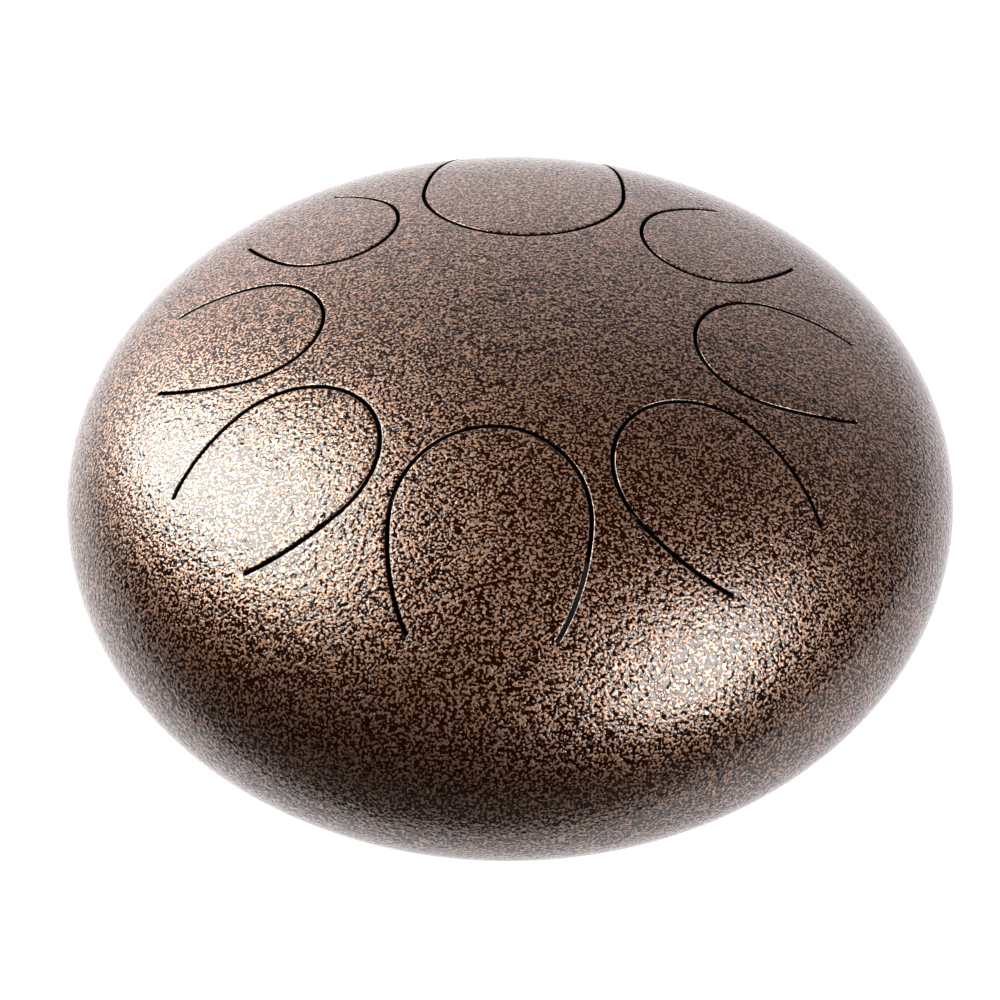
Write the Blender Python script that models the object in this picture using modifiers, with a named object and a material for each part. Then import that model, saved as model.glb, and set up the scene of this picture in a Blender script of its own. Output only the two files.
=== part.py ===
"""Steel tongue drum: two pressed steel shells welded at the equator, with eight tongues cut into the
upper one, a sound port in the lower one, and four screwed rubber feet.

Metres, +Z up. The origin is on the surface the drum stands on, under the drum's axis. Azimuths are
measured from the front tongue, which points along -Y, and grow counterclockwise seen from above.
"""
import math

import bmesh
import bpy
from mathutils import Matrix, Vector

# Shells: each is a turned superellipse, (r / radius)^power + (z / rise)^power = 1.
BODY_RADIUS = 0.165
SHELL_RISE = 0.078
SHELL_POWER = 2.12
SHEET = 0.002
GAP = 0.0003
POLE_CLEARANCE = 0.007
EQUATOR_Z = POLE_CLEARANCE + SHELL_RISE
WELD_HEIGHT = 0.002
COLLAR = 0.002
PORT_RADIUS = 0.040
TURN_STEPS = 48
PROFILE_STEPS = 9

# Tongues: azimuth, radius of the widest point, reach towards the pole, reach towards the rim,
# greatest width and width across the root, all along the slot's centre line.
KERF = 0.0014
CUT_DEPTH = 0.012
ARC_STEPS = 9
TONGUES = {
    "tongue_1": (0.0, 0.0886, 0.0373, 0.0400, 0.0668, 0.0488),
    "tongue_2": (-48.0, 0.0953, 0.0340, 0.0352, 0.0596, 0.0446),
    "tongue_3": (-90.3, 0.0944, 0.0292, 0.0312, 0.0528, 0.0412),
    "tongue_4": (-130.5, 0.0940, 0.0264, 0.0238, 0.0518, 0.0440),
    "tongue_5": (180.0, 0.0872, 0.0377, 0.0496, 0.0766, 0.0592),
    "tongue_6": (130.5, 0.0940, 0.0264, 0.0238, 0.0518, 0.0440),
    "tongue_7": (90.3, 0.0944, 0.0292, 0.0312, 0.0528, 0.0412),
    "tongue_8": (48.0, 0.0953, 0.0340, 0.0352, 0.0596, 0.0446),
}

# Feet: a rubber puck square to the shell, moulded flat underneath, with an M4 screw, washer and nut.
# The screw head's profile gives shares of its radius and of its height below the top.
FOOT_COUNT = 4
FOOT_RING_RADIUS = 0.072
FOOT_TOP_RADIUS = 0.0125
FOOT_BOTTOM_RADIUS = 0.0115
FOOT_FLOOR_THICKNESS = 0.005
FOOT_REACH = 0.020
FOOT_OVERLAP = 0.003
RECESS_RADIUS = 0.0052
HOLE_RADIUS = 0.0023
SHANK_RADIUS = 0.0020
HEAD_RADIUS = 0.0040
HEAD_HEIGHT = 0.0026
HEAD_PROFILE = [(0.0, 0.0), (0.55, 0.0), (0.9, 0.3), (1.0, 0.65)]
WASHER_RADIUS = 0.0045
WASHER_HEIGHT = 0.0008
NUT_FLATS = 0.0070
NUT_HEIGHT = 0.0032
SHANK_PROUD = 0.0012
ROUND_SEGMENTS = 24
SMALL_SEGMENTS = 16

MERGE_DISTANCE = 0.00001
HALVINGS = 40
SHARP_ANGLE = math.radians(35)

FRONT = math.radians(-90)


def clear_scene():
    for old in list(bpy.data.objects):
        bpy.data.objects.remove(old, do_unlink=True)


def new_collection(name):
    collection = bpy.data.collections.new(name)
    bpy.context.scene.collection.children.link(collection)
    return collection


def make_material(name, color, roughness, metallic):
    material = bpy.data.materials.new(name)
    material.use_nodes = True
    shader = material.node_tree.nodes["Principled BSDF"]
    shader.inputs["Base Color"].default_value = (*color, 1)
    shader.inputs["Roughness"].default_value = roughness
    shader.inputs["Metallic"].default_value = metallic
    return material


clear_scene()
PARTS = new_collection("steel_tongue_drum")
CUTTERS = new_collection("cutters")
COATED_STEEL = make_material("coated_steel", (0.30, 0.20, 0.14), 0.35, 0.6)
RUBBER = make_material("foot_rubber", (0.03, 0.03, 0.03), 0.8, 0.0)
ZINC = make_material("zinc_steel", (0.62, 0.63, 0.65), 0.3, 1.0)


def add_part(name, mesh, material, matrix=None):
    """A node of the drum, shaded smooth with its sharp edges kept."""
    part = bpy.data.objects.new(name, mesh)
    part.matrix_world = matrix or Matrix.Identity(4)
    part.data.materials.append(material)
    part.data.shade_smooth()
    PARTS.objects.link(part)
    return part


def add_cutter(name, mesh, matrix=None):
    """A hidden guide for Booleans."""
    cutter = bpy.data.objects.new(name, mesh)
    cutter.matrix_world = matrix or Matrix.Identity(4)
    cutter.hide_render = True
    cutter.display_type = "WIRE"
    CUTTERS.objects.link(cutter)
    return cutter


def add_boolean(part, cutter, operation):
    boolean = part.modifiers.new(operation.lower(), "BOOLEAN")
    boolean.operation = operation
    boolean.object = cutter
    boolean.solver = "EXACT"


def rise(radius, offset=0.0):
    """Height over the equator of the shell's outer surface, or of one grown by an offset."""
    ratio = min(radius / (BODY_RADIUS + offset), 1.0)
    return (SHELL_RISE + offset) * (1 - ratio ** SHELL_POWER) ** (1 / SHELL_POWER)


def slope(radius):
    """Fall of the outer surface at a radius, as an angle."""
    ratio = radius / BODY_RADIUS
    height = rise(radius) / SHELL_RISE
    return math.atan2(SHELL_RISE * ratio ** (SHELL_POWER - 1), BODY_RADIUS * height ** (SHELL_POWER - 1))


def profile_point(angle, offset=0.0):
    """Radius and height over the equator; the angle is 90 degrees at the pole and 0 at the equator."""
    radius = (BODY_RADIUS + offset) * max(math.cos(angle), 0.0) ** (2 / SHELL_POWER)
    height = (SHELL_RISE + offset) * max(math.sin(angle), 0.0) ** (2 / SHELL_POWER)
    return radius, height


def shell_profile(pole_radius, edge_height, offset=0.0):
    """Points from the pole, or from a hole of pole_radius round it, to an edge near the equator.

    A short upright last step keeps the edge of the sheet square to the equator.
    """
    first = math.acos((pole_radius / (BODY_RADIUS + offset)) ** (SHELL_POWER / 2))
    last = math.asin((edge_height / (SHELL_RISE + offset)) ** (SHELL_POWER / 2))
    collar = math.asin(((edge_height + COLLAR) / (SHELL_RISE + offset)) ** (SHELL_POWER / 2))
    angles = [first + (collar - first) * step / PROFILE_STEPS for step in range(PROFILE_STEPS + 1)]
    angles.append(last)
    points = [profile_point(angle, offset) for angle in angles]
    points[0] = (pole_radius, points[0][1])
    return points


def turned_mesh(name, points, closed=False, steps=TURN_STEPS, thickness=0.0):
    """Turns a profile of (radius, height) points about Z; a thickness makes an open one a sheet."""
    profile = bpy.data.meshes.new(name + "_profile")
    edges = [(index, index + 1) for index in range(len(points) - 1)]
    if closed:
        edges.append((len(points) - 1, 0))
    profile.from_pydata([(radius, 0, height) for radius, height in points], edges, [])
    blank = bpy.data.objects.new(name + "_blank", profile)
    CUTTERS.objects.link(blank)
    screw = blank.modifiers.new("screw", "SCREW")
    screw.steps = steps
    screw.render_steps = steps
    screw.use_merge_vertices = True
    screw.merge_threshold = MERGE_DISTANCE
    if thickness:
        solidify = blank.modifiers.new("solidify", "SOLIDIFY")
        solidify.thickness = thickness
        solidify.offset = -1
        solidify.use_even_offset = True
    mesh = evaluated_mesh(name, blank)
    bpy.data.objects.remove(blank, do_unlink=True)
    return mesh


def evaluated_mesh(name, source):
    bpy.context.view_layer.update()
    depsgraph = bpy.context.evaluated_depsgraph_get()
    mesh = bpy.data.meshes.new_from_object(source.evaluated_get(depsgraph))
    mesh.name = name
    return mesh


def cone_mesh(name, low_radius, high_radius, low, high, segments):
    """A closed cylinder or cone along Z between two heights."""
    mesh = bpy.data.meshes.new(name)
    shape = bmesh.new()
    bmesh.ops.create_cone(
        shape, cap_ends=True, segments=segments, radius1=low_radius, radius2=high_radius, depth=high - low
    )
    bmesh.ops.translate(shape, vec=(0, 0, (low + high) / 2), verts=shape.verts)
    shape.to_mesh(mesh)
    shape.free()
    return mesh


def prism_mesh(name, outline):
    """A flat outline made CUT_DEPTH thick to both sides of its plane."""
    curve = bpy.data.curves.new(name, "CURVE")
    curve.dimensions = "2D"
    curve.fill_mode = "BOTH"
    curve.extrude = CUT_DEPTH
    spline = curve.splines.new("POLY")
    spline.points.add(len(outline) - 1)
    for point, (x, y) in zip(spline.points, outline):
        point.co = (x, y, 0, 1)
    spline.use_cyclic_u = True
    guide = bpy.data.objects.new(name, curve)
    CUTTERS.objects.link(guide)
    mesh = evaluated_mesh(name, guide)
    bpy.data.objects.remove(guide, do_unlink=True)
    shape = bmesh.new()
    shape.from_mesh(mesh)
    bmesh.ops.remove_doubles(shape, verts=shape.verts, dist=MERGE_DISTANCE)
    bmesh.ops.recalc_face_normals(shape, faces=shape.faces)
    shape.to_mesh(mesh)
    shape.free()
    return mesh


def upper_seat(azimuth, radius):
    """Frame on the upper shell: X runs down the slope, Y round the drum, Z out of the steel."""
    turn = Matrix.Rotation(FRONT + math.radians(azimuth), 4, "Z")
    place = Matrix.Translation((radius, 0, EQUATOR_Z + rise(radius)))
    return turn @ place @ Matrix.Rotation(slope(radius), 4, "Y")


def lower_seat(azimuth, radius):
    """Frame on the lower shell, with Z out of the steel and so pointing down."""
    turn = Matrix.Rotation(FRONT + math.radians(azimuth), 4, "Z")
    place = Matrix.Translation((radius, 0, EQUATOR_Z - rise(radius)))
    return turn @ place @ Matrix.Rotation(math.pi - slope(radius), 4, "Y")


def sheet_drop(seat, along):
    """Distance from a seat's plane down to the upper shell's outer surface, by halving."""
    shallow = 0.0
    deep = CUT_DEPTH
    for _ in range(HALVINGS):
        middle = (shallow + deep) / 2
        point = seat @ Vector((along, 0, -middle))
        if point.z - EQUATOR_Z > rise(math.hypot(point.x, point.y)):
            shallow = middle
        else:
            deep = middle
    return deep


def tongue_outline(inward, outward, width, root_width, grow, root_extra):
    """Horseshoe of two half ellipses about the widest point, closed straight across the root.

    X points towards the rim. The outline is the slot's centre line, grown by half a kerf or shrunk.
    """
    half = width / 2
    root_angle = math.acos(root_width / width)
    root_reach = outward / math.sin(root_angle) + grow
    root_line = outward + root_extra
    last_angle = math.asin(root_line / root_reach)
    tip = [math.pi * (step / (2 * ARC_STEPS) - 0.5) for step in range(2 * ARC_STEPS + 1)]
    side = [last_angle * step / ARC_STEPS for step in range(1, ARC_STEPS + 1)]
    points = [(-(inward + grow) * math.cos(angle), (half + grow) * math.sin(angle)) for angle in tip]
    points += [(root_reach * math.sin(angle), (half + grow) * math.cos(angle)) for angle in side]
    points += [(root_reach * math.sin(angle), -(half + grow) * math.cos(angle)) for angle in reversed(side)]
    return points


def build_upper_shell():
    """The upper shell with a window for each tongue, and the tongues cut from the same pressing."""
    profile = shell_profile(0.0, WELD_HEIGHT / 2 + GAP)
    blank = turned_mesh("upper_shell", profile, thickness=SHEET)
    blank.transform(Matrix.Translation((0, 0, EQUATOR_Z)))
    upper = add_part("upper_shell", blank, COATED_STEEL)
    for name, (azimuth, radius, inward, outward, width, root_width) in TONGUES.items():
        seat = upper_seat(azimuth, radius)
        window = tongue_outline(inward, outward, width, root_width, KERF / 2, GAP)
        window_cutter = add_cutter(name + "_window", prism_mesh(name + "_window", window), seat)
        add_boolean(upper, window_cutter, "DIFFERENCE")

        hinge = seat @ Matrix.Translation((outward, 0, -sheet_drop(seat, outward) - SHEET / 2))
        sheet = blank.copy()
        sheet.transform(hinge.inverted())
        tongue = add_part(name, sheet, COATED_STEEL, hinge)
        outline = tongue_outline(inward, outward, width, root_width, -KERF / 2, 0.0)
        tongue_cutter = add_cutter(name + "_outline", prism_mesh(name + "_outline", outline), seat)
        add_boolean(tongue, tongue_cutter, "INTERSECT")


def build_weld_seam():
    """The equator weld, ground flush with the shells."""
    half = WELD_HEIGHT / 2
    inner = BODY_RADIUS - SHEET
    points = [(BODY_RADIUS, half), (BODY_RADIUS, -half), (inner, -half), (inner, half)]
    mesh = turned_mesh("weld_seam", points, closed=True)
    mesh.transform(Matrix.Translation((0, 0, EQUATOR_Z)))
    add_part("weld_seam", mesh, COATED_STEEL)


def build_lower_shell():
    """The lower shell, open at its pole for the sound port."""
    profile = shell_profile(PORT_RADIUS, WELD_HEIGHT / 2 + GAP)
    profile = [(radius, -height) for radius, height in reversed(profile)]
    mesh = turned_mesh("lower_shell", profile, thickness=SHEET)
    mesh.transform(Matrix.Translation((0, 0, EQUATOR_Z)))
    return add_part("lower_shell", mesh, COATED_STEEL)


def dome_plug():
    """A solid of the lower shell's outer form grown by the gap, to shape the feet's seats."""
    curve = [(radius, -height) for radius, height in reversed(shell_profile(0.0, 0.0, GAP))]
    mesh = turned_mesh("dome_plug", [(0, 0)] + curve)
    mesh.transform(Matrix.Translation((0, 0, EQUATOR_Z)))
    return add_cutter("dome_plug", mesh)


def build_foot(number, azimuth, lower, plug, ground):
    """One foot with its screw, washer and nut, square to the shell."""
    seat = lower_seat(azimuth, FOOT_RING_RADIUS)
    hole = cone_mesh("hole", HOLE_RADIUS, HOLE_RADIUS, -FOOT_REACH, FOOT_REACH, SMALL_SEGMENTS)
    hole_cutter = add_cutter("foot_%d_hole" % number, hole, seat)
    add_boolean(lower, hole_cutter, "DIFFERENCE")

    puck = cone_mesh(
        "rubber_foot", FOOT_TOP_RADIUS, FOOT_BOTTOM_RADIUS, -FOOT_OVERLAP, FOOT_REACH, ROUND_SEGMENTS
    )
    foot = add_part("rubber_foot_%d" % number, puck, RUBBER, seat)
    recess = cone_mesh(
        "recess", RECESS_RADIUS, RECESS_RADIUS, FOOT_FLOOR_THICKNESS, 2 * FOOT_REACH, ROUND_SEGMENTS
    )
    recess_cutter = add_cutter("foot_%d_recess" % number, recess, seat)
    for cutter in (plug, ground, recess_cutter, hole_cutter):
        add_boolean(foot, cutter, "DIFFERENCE")

    head_low = FOOT_FLOOR_THICKNESS + GAP
    head_high = head_low + HEAD_HEIGHT
    washer_high = -SHEET - GAP
    nut_high = washer_high - WASHER_HEIGHT - GAP
    nut_low = nut_high - NUT_HEIGHT
    screw_points = [(HEAD_RADIUS * wide, head_high - HEAD_HEIGHT * down) for wide, down in HEAD_PROFILE]
    screw_points += [
        (HEAD_RADIUS, head_low),
        (SHANK_RADIUS, head_low),
        (SHANK_RADIUS, nut_low - SHANK_PROUD),
        (0, nut_low - SHANK_PROUD),
    ]
    add_part("foot_screw_%d" % number, turned_mesh("screw", screw_points, steps=SMALL_SEGMENTS), ZINC, seat)

    washer_mesh = cone_mesh(
        "washer", WASHER_RADIUS, WASHER_RADIUS, washer_high - WASHER_HEIGHT, washer_high, ROUND_SEGMENTS
    )
    washer = add_part("foot_washer_%d" % number, washer_mesh, ZINC, seat)
    add_boolean(washer, hole_cutter, "DIFFERENCE")

    nut_radius = NUT_FLATS / math.sqrt(3)
    nut = add_part(
        "foot_nut_%d" % number, cone_mesh("nut", nut_radius, nut_radius, nut_low, nut_high, 6), ZINC, seat
    )
    add_boolean(nut, hole_cutter, "DIFFERENCE")


def build_feet(lower):
    plug = dome_plug()
    slab = cone_mesh("ground", BODY_RADIUS, BODY_RADIUS, -FOOT_REACH * 2, 0, ROUND_SEGMENTS)
    ground = add_cutter("ground", slab)
    for index in range(FOOT_COUNT):
        azimuth = 360 / FOOT_COUNT * (index + 0.5)
        build_foot(index + 1, azimuth, lower, plug, ground)


def sharpen_edges():
    """Marks the sharp edges once every part is in place."""
    for part in PARTS.objects:
        part.data.set_sharp_from_angle(angle=SHARP_ANGLE)


build_upper_shell()
build_weld_seam()
build_feet(build_lower_shell())
sharpen_edges()
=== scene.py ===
import math

import bmesh
import bpy
import numpy as np
from mathutils import Matrix, Vector
from mathutils.geometry import delaunay_2d_cdt
from mathutils.kdtree import KDTree


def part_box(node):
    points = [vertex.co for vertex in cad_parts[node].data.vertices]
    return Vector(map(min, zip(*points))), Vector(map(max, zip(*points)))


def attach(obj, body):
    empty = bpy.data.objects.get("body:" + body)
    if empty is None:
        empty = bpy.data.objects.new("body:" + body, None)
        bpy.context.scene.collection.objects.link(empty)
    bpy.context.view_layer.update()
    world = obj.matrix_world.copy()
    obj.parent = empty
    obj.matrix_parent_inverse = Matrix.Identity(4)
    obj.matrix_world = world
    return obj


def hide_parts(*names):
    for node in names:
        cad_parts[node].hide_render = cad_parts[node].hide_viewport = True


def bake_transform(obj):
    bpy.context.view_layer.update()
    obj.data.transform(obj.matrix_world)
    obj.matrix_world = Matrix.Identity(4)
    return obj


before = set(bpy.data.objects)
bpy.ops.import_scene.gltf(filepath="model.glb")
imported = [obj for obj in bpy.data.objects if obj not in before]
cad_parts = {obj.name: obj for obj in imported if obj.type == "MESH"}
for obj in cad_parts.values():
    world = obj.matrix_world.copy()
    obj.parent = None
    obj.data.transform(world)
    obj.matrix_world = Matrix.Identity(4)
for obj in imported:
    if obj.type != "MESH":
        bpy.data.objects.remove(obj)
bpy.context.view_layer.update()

MM = 0.001
FRONT = -math.pi / 2
DRUM_BODY = "drum_body"

# The shells, read from the frame: turned superellipses, (r / radius)^power + (z / rise)^power = 1.
WELD_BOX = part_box("weld_seam")
BODY_RADIUS = WELD_BOX[1].x
EQUATOR_Z = (WELD_BOX[0].z + WELD_BOX[1].z) / 2
WELD_HALF = (WELD_BOX[1].z - WELD_BOX[0].z) / 2
WELD_BEAD = 0.5 * MM
SHELL_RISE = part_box("upper_shell")[1].z - EQUATOR_Z
SHELL_POWER = 2.12
SHEET = 2.0 * MM
PORT_RADIUS = 40.0 * MM
PORT_EDGE = 0.7 * MM

# How finely the pieces are meshed. The lower shell's inner skin keeps every fourth point of the outer one.
MERIDIAN_STEPS = 6000
RIM_STEPS = 540
SKIN_STEP = 1.5 * MM
INNER_STEP = 4.0 * MM
CLEAR_OF_BORDER = 0.62
LOWER_STEPS = 92
LOWER_SAMPLES = 100
INNER_SKIP = 4
PORT_EDGE_STEPS = 5
BEAD_STEPS = 7
HALVINGS = 36
DROP_RANGE = (-1.0 * MM, 30.0 * MM)
MERGE_DISTANCE = 2e-6
SHARP_DEGREES = 50

# Tongues: azimuth from the front, radius of the widest point, reach towards the pole, reach towards the
# rim, greatest width and width across the root, in degrees and metres along the slot's centre line.
TONGUES = {
    "tongue_1": (0.0, 0.0886, 0.0373, 0.0400, 0.0668, 0.0488),
    "tongue_2": (-48.0, 0.0953, 0.0340, 0.0352, 0.0596, 0.0446),
    "tongue_3": (-90.3, 0.0944, 0.0292, 0.0312, 0.0528, 0.0412),
    "tongue_4": (-130.5, 0.0940, 0.0264, 0.0238, 0.0518, 0.0440),
    "tongue_5": (180.0, 0.0872, 0.0377, 0.0496, 0.0766, 0.0592),
    "tongue_6": (130.5, 0.0940, 0.0264, 0.0238, 0.0518, 0.0440),
    "tongue_7": (90.3, 0.0944, 0.0292, 0.0312, 0.0528, 0.0412),
    "tongue_8": (48.0, 0.0953, 0.0340, 0.0352, 0.0596, 0.0446),
}
KERF = 1.3 * MM
LIP = 0.5 * MM
UNDER_LIP = 0.2 * MM
SLOT_STEP = 0.8 * MM
LEG_SAMPLES = 200
CROWN_SAMPLES = 400
CAP_STEPS = 5
LIP_STEPS = 5
FLEX_SHARE = 0.4

# Feet: a rubber puck on the lower shell, with an M4 pan head screw, a washer and a nut.
CONTACT = 0.05 * MM
FOOT_COUNT = 4
FOOT_RING_RADIUS = 72.0 * MM
FOOT_TOP_RADIUS = 12.5 * MM
FOOT_BOTTOM_RADIUS = 11.5 * MM
FOOT_FLOOR = 5.0 * MM
FOOT_ROUNDING = 1.2 * MM
FOOT_STEPS = 96
SEAT_REACH = 10.0 * MM
SEAT_HALVINGS = 40
# The top edge of a foot: distance inside its radius and drop from the shell.
FOOT_TOP_EDGE = ((0.4 * MM, CONTACT), (0.1 * MM, 0.15 * MM), (0.0, 0.45 * MM))
RECESS_RADIUS = 5.2 * MM
RECESS_CHAMFER = 0.5 * MM
RECESS_FILLET = 0.4 * MM
HOLE_RADIUS = 2.3 * MM
AXIS_RADIUS = 0.02 * MM
DRILL_RADIUS = 0.01 * MM
DRILL_REACH = 10.0 * MM
DRILL_STEPS = 32
HEAD_RADIUS = 4.0 * MM
HEAD_HEIGHT = 2.6 * MM
HEAD_DOME = 0.62
HEAD_EDGE = 0.15 * MM
HEAD_STEPS = 12
HEAD_START = 0.03
# The driver cross at two heights: height over the head, reach of an arm and half its width.
CROSS_SECTIONS = ((0.2 * MM, 2.3 * MM, 0.45 * MM), (-1.7 * MM, 1.2 * MM, 0.35 * MM))
SHANK_RADIUS = 2.0 * MM
SHANK_PROUD = 1.2 * MM
SHANK_PLAIN = 0.8 * MM
SHANK_POINT = 0.35 * MM
SCREW_STEPS = 48
THREAD_PITCH = 0.7 * MM
THREAD_DEPTH = 0.3 * MM
THREAD_ROOT_AT = 0.45
THREAD_CREST_AT = 0.9
THREAD_END = 0.3 * MM
WASHER_RADIUS = 4.5 * MM
WASHER_HEIGHT = 0.8 * MM
WASHER_EDGE = 0.15 * MM
WASHER_STEPS = 64
NUT_FLATS = 7.0 * MM
NUT_HEIGHT = 3.2 * MM
NUT_TURNED_BACK = 0.97
NUT_CONE = math.radians(30)
NUT_BORE_EDGE = 0.2 * MM
NUT_STEPS = 72

# The vein coat. Colours are linear, scales are cells in a metre, and depths under the skin are in mm.
VEIN_SCALE = 1030.0
VEIN_DETAIL = 1.2
VEIN_LEVEL = 0.53
VEIN_BELOW = 0.02
VEIN_ABOVE = 0.03
VEIN_SWELL = 0.12
DRIFT_SCALE = 90
DRIFT_SHARE = 0.05
TONE_SCALE = 1100
HUE_SCALE = 300
PIT_BLACK = (0.0070, 0.0014, 0.0005, 1)
VEIN_EDGE = (0.115, 0.048, 0.022, 1)
TAN_DARK = (0.165, 0.092, 0.058, 1)
TAN_LIGHT = (0.340, 0.218, 0.158, 1)
TAN_WARM = (0.34, 0.180, 0.095, 1)
# Near black deep in a slot, and the depths in mm over which it comes in: painted shade for the dark inside of
# the drum seen through the slots.
SLOT_PAINTED_SHADE = (0.003, 0.002, 0.002, 1)
SLOT_SHADE_DEPTH = (0.10, 0.25)
SMOOTH_DEPTH = (0.01, 0.08)
SMOOTH_SHARE = 0.3
COPPER_METAL = 0.95
COPPER_ROUGHNESS = 0.465
VEIN_HEIGHT = 0.03 * MM
COAT_HEIGHT = 0.3 * MM
COAT_RELIEF = 0.20
COAT_PEEL = 1.15
PEEL_SCALE = 560
PEEL_DETAIL = 0.5
COAT_ROUGHNESS = 0.05
COAT_IOR = 1.5

RUBBER_BLACK = (0.016, 0.016, 0.017, 1)
RUBBER_DUST = (0.035, 0.034, 0.033, 1)
RUBBER_ROUGHNESS = (0.62, 0.82)
RUBBER_GRAIN_SCALE = 2200
DUST_SCALE = 180
ZINC_BLUE = (0.52, 0.55, 0.60, 1)
ZINC_STRAW = (0.68, 0.66, 0.60, 1)
ZINC_ROUGHNESS = (0.24, 0.38)
ZINC_CLOUD_SCALE = 300
ZINC_STREAK_SCALE = 1800

# The pool of light on the floor, in metres from the drum's axis, and the two floors it divides.
POOL_FRONT = -0.225
POOL_FRONT_BLUR = (-0.03, 0.02)
POOL_SLANT = 0.15
POOL_REAR = 1.0
POOL_SIDE = 0.9
POOL_BLUR = 0.6
GLOW_IN_POOL = 1.0
GLOW_OUTSIDE = 0.015
# Radii from the drum's axis over which the floor's glow fades out under the drum: a painted shadow.
SHADOW_UNDER_DRUM = (0.05, 0.10)
FLOOR_SIZE = 8
FLOOR_CELLS = 8
FLOOR_LIT = ((0.155, 0.15, 0.155, 1), (0.165, 0.16, 0.165, 1))
FLOOR_OUTSIDE = (0.05, 0.05, 0.05, 1)
FLOOR_ROUGHNESS = 0.7
FLOOR_MOTTLE_SCALE = 3
FLOOR_GLOW = (1.0, 0.97, 1.0, 1)

# The surroundings: a wall of light behind the drum that fades upwards, forwards and to the right.
WALL_HEIGHT = (0.24, 0.88)
WALL_DEPTH = (0.10, 0.88)
WALL_LEFTWARD = -1.2
WALL_MIDDLE = 1.7
WALL_LEAST = 0.8
ROOM_GLOW = 0.012
SKY_TINT = (0.88, 0.95, 1, 1)
WALL_TINT = (1.0, 0.88, 0.88, 1)
WHITE = (1, 1, 1, 1)

# Softboxes: azimuth and elevation of their centres in degrees, then distance in metres.
LEFT_BOX_PLACE = (-114, 43, 1.3)
LEFT_BOX_OUTLINE = [(-0.25, -0.78), (0.0, -0.72), (0.38, -0.31), (0.62, 0.3), (0.60, 0.58), (0.0, 0.56),
                    (-0.2, 0.5), (-0.28, 0.35)]
LEFT_BOX_GLOW = 15.0
LEFT_BOX_COLOR = (1.0, 0.97, 0.92, 1)
RIGHT_BOX_PLACE = (58, 42, 1.3)
RIGHT_BOX_SIZE = (0.6, 0.85)
RIGHT_BOX_SHIFT = (-0.07, -0.05)
RIGHT_BOX_ROLL = math.radians(-45)
RIGHT_BOX_POWER = 22
RIGHT_BOX_COLOR = (1.0, 0.97, 0.95)

VIEW_ELEVATION = math.radians(45.54)
VIEW_TURN = math.radians(4.64)
VIEW_DISTANCE = 5.0 * BODY_RADIUS
VIEW_ROLL = math.radians(-0.80)
VIEW_ASIDE = -0.0222 * BODY_RADIUS
VIEW_AIM = -0.0821 * BODY_RADIUS
LENS = 77.84
SENSOR = 36


# ---------------------------------------------------------------- the shell's form

def rise(radius):
    """Height over the equator of the upper shell's outer surface."""
    ratio = np.clip(np.asarray(radius) / BODY_RADIUS, 0, 1)
    return SHELL_RISE * (1 - ratio ** SHELL_POWER) ** (1 / SHELL_POWER)


def outward(points):
    """Unit normals of the outer surface at points on it, above or below the equator."""
    radius = np.hypot(points[:, 0], points[:, 1])
    height = points[:, 2] - EQUATOR_Z
    radial = (radius / BODY_RADIUS) ** (SHELL_POWER - 1) / BODY_RADIUS
    upright = np.sign(height) * (np.abs(height) / SHELL_RISE) ** (SHELL_POWER - 1) / SHELL_RISE
    safe = np.maximum(radius, 1e-9)
    normals = np.stack([radial * points[:, 0] / safe, radial * points[:, 1] / safe, upright], 1)
    return normals / np.linalg.norm(normals, axis=1)[:, None]


def arc_lengths(radius, height):
    """Length along a profile from its first point to each point."""
    return np.concatenate([[0], np.cumsum(np.hypot(np.diff(radius), np.diff(height)))])


def meridian(first, last, count):
    """Radius and height of the outer profile between two angles; 90 degrees is the pole."""
    angle = np.linspace(first, last, count)
    radius = BODY_RADIUS * np.cos(angle).clip(0) ** (2 / SHELL_POWER)
    height = SHELL_RISE * np.sin(angle).clip(0) ** (2 / SHELL_POWER)
    return radius, height


PROFILE_RADIUS, PROFILE_HEIGHT = meridian(math.pi / 2, 0, MERIDIAN_STEPS + 1)
PROFILE_ARC = arc_lengths(PROFILE_RADIUS, PROFILE_HEIGHT)


def radius_at(height_over_equator):
    """Radius of the outer surface at a height over or under the equator."""
    return float(np.interp(-abs(height_over_equator), -PROFILE_HEIGHT, PROFILE_RADIUS))


def to_map(points):
    """Flat map of the upper shell: direction from the pole, and arc length in place of radius."""
    radius = np.hypot(points[:, 0], points[:, 1])
    arc = np.interp(radius, PROFILE_RADIUS, PROFILE_ARC)
    stretch = np.where(radius > 1e-9, arc / np.maximum(radius, 1e-9), 1)
    return points[:, :2] * stretch[:, None]


def from_map(flat):
    """Points on the upper shell's outer surface, from the flat map."""
    arc = np.hypot(flat[:, 0], flat[:, 1])
    radius = np.interp(arc, PROFILE_ARC, PROFILE_RADIUS)
    height = np.interp(arc, PROFILE_ARC, PROFILE_HEIGHT)
    shrink = np.where(arc > 1e-9, radius / np.maximum(arc, 1e-9), 1)
    return np.column_stack([flat * shrink[:, None], EQUATOR_Z + height])


# ---------------------------------------------------------------- tongues and slots

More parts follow.
